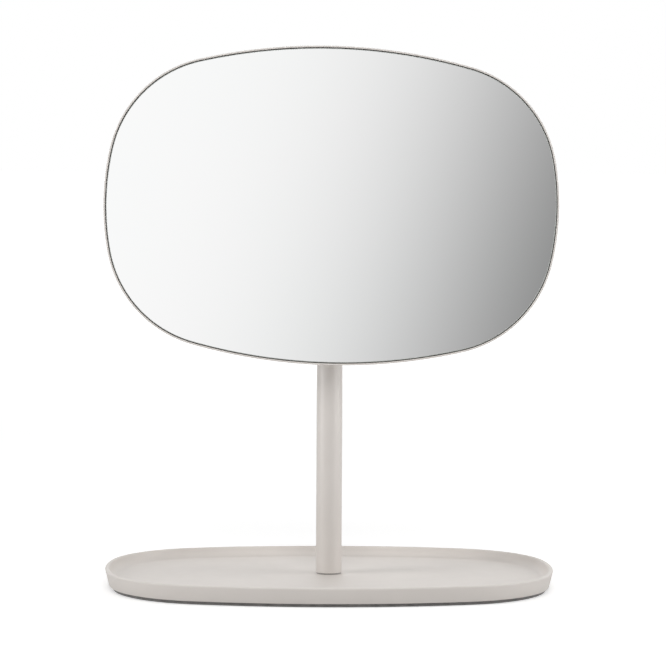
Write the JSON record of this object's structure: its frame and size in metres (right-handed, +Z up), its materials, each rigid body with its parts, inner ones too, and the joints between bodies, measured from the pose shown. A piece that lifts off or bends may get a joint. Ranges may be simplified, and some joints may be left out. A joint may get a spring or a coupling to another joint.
{
  "type": "table mirror",
  "caption": "Table mirror with a wide rounded glass in a thin painted shell, tilting and turning on a slim round post above a shallow dished tray.",
  "frame": {"origin": "on the table top, under the middle of the tray", "axes": "+Z up, +X to the right seen from the front, the glass faces -Y"},
  "size_m": [0.2784, 0.187, 0.3339],
  "materials": {
    "tray_paint": "satin powder coat, warm light grey",
    "post_paint": "satin powder coat, warm light grey",
    "fork_paint": "satin powder coat, warm light grey",
    "hub_paint": "satin powder coat, warm light grey",
    "shell_paint": "satin powder coat, warm light grey",
    "plate_steel": "mill finish steel sheet",
    "zinc_steel": "zinc plated",
    "black_steel": "black oxide",
    "spring_steel": "spring steel, oiled",
    "friction_plastic": "natural acetal",
    "pad_rubber": "dark fine-celled foam rubber",
    "gasket_rubber": "dark rubber",
    "foam": "white acrylic foam tape",
    "mirror": "clear silvered glass, ground edge"
  },
  "bodies": {
    "stand": {"tray": "tray_paint", "base_plate": "plate_steel", "base_pad": "pad_rubber", "base_washer": "zinc_steel", "base_screw": "zinc_steel", "foot_gasket": "gasket_rubber", "foot_insert": "zinc_steel", "post_tube": "post_paint", "tilt_fork": "fork_paint", "fork_set_screw": "black_steel", "tilt_bolt": "zinc_steel", "tilt_nut": "zinc_steel", "tilt_washer_left": "friction_plastic", "tilt_washer_right": "friction_plastic", "tilt_disc_spring": "spring_steel"},
    "knuckle": {"tilt_knuckle": "fork_paint", "turn_disc": "zinc_steel", "turn_screw": "zinc_steel"},
    "head": {"hub_housing": "hub_paint", "turn_ring_rear": "friction_plastic", "turn_ring_front": "friction_plastic", "turn_spring_rear": "spring_steel", "turn_spring_front": "spring_steel", "hub_screws": "zinc_steel", "back_shell": "shell_paint", "carrier_plate": "zinc_steel", "foam_tape": "foam", "mirror_glass": "mirror"}
  },
  "joints": [
    {"name": "tilt", "type": "hinge", "parent": "stand", "child": "knuckle", "pos_m": [0, 0.0103, 0.2363], "axis": [-1, 0, 0], "range_deg": [-6, 45]},
    {"name": "turn", "type": "hinge", "parent": "knuckle", "child": "head", "pos_m": [0, 0.0103, 0.2363], "axis": [0, 1, 0], "continuous": true}
  ]
}
